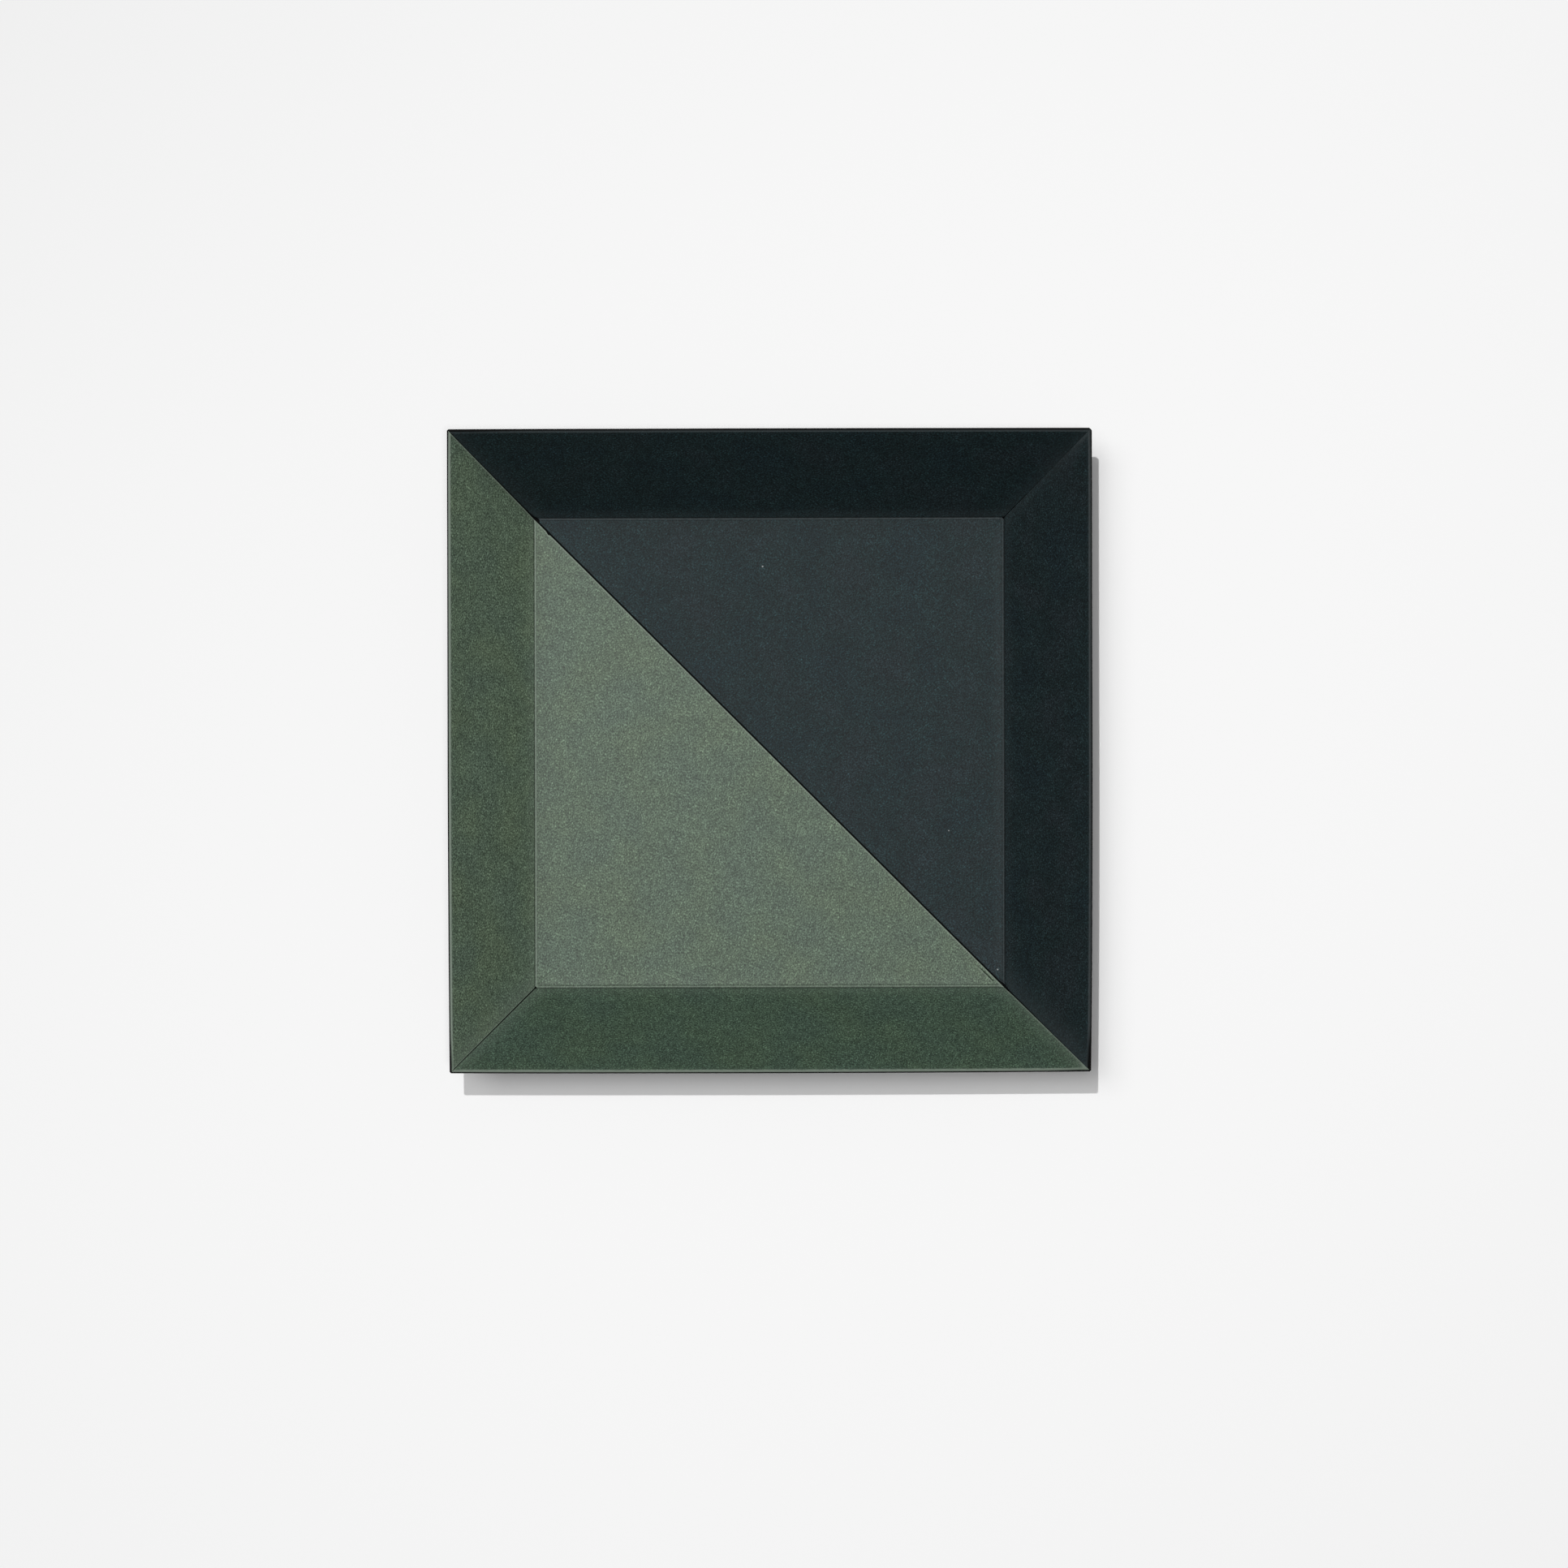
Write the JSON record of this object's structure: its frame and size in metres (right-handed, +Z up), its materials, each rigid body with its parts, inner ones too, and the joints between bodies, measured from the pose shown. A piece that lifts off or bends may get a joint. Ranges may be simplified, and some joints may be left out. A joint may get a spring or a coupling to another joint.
{
  "type": "paper tray",
  "caption": "Shallow square tray of folded card with flared, mitred walls, lined half in green and half in near-black card along a diagonal, to hold keys and small things.",
  "frame": {"origin": "centre of the underside of the base, where the tray rests", "axes": "+Z up through the open side; the green half of the lining faces -X and -Y, and the seam runs along the diagonal from -X+Y to +X-Y"},
  "size_m": [0.2, 0.2, 0.03],
  "materials": {
    "outer_card": "matt uncoated card, dyed near-black through its thickness",
    "green_card": "matt uncoated card, dyed grey-green, with a fine felt grain",
    "dark_card": "matt uncoated card, dyed blue-black, with a fine felt grain"
  },
  "bodies": {
    "root": {"outer_tray": "outer_card", "green_lining": "green_card", "dark_lining": "dark_card"}
  },
  "joints": []
}
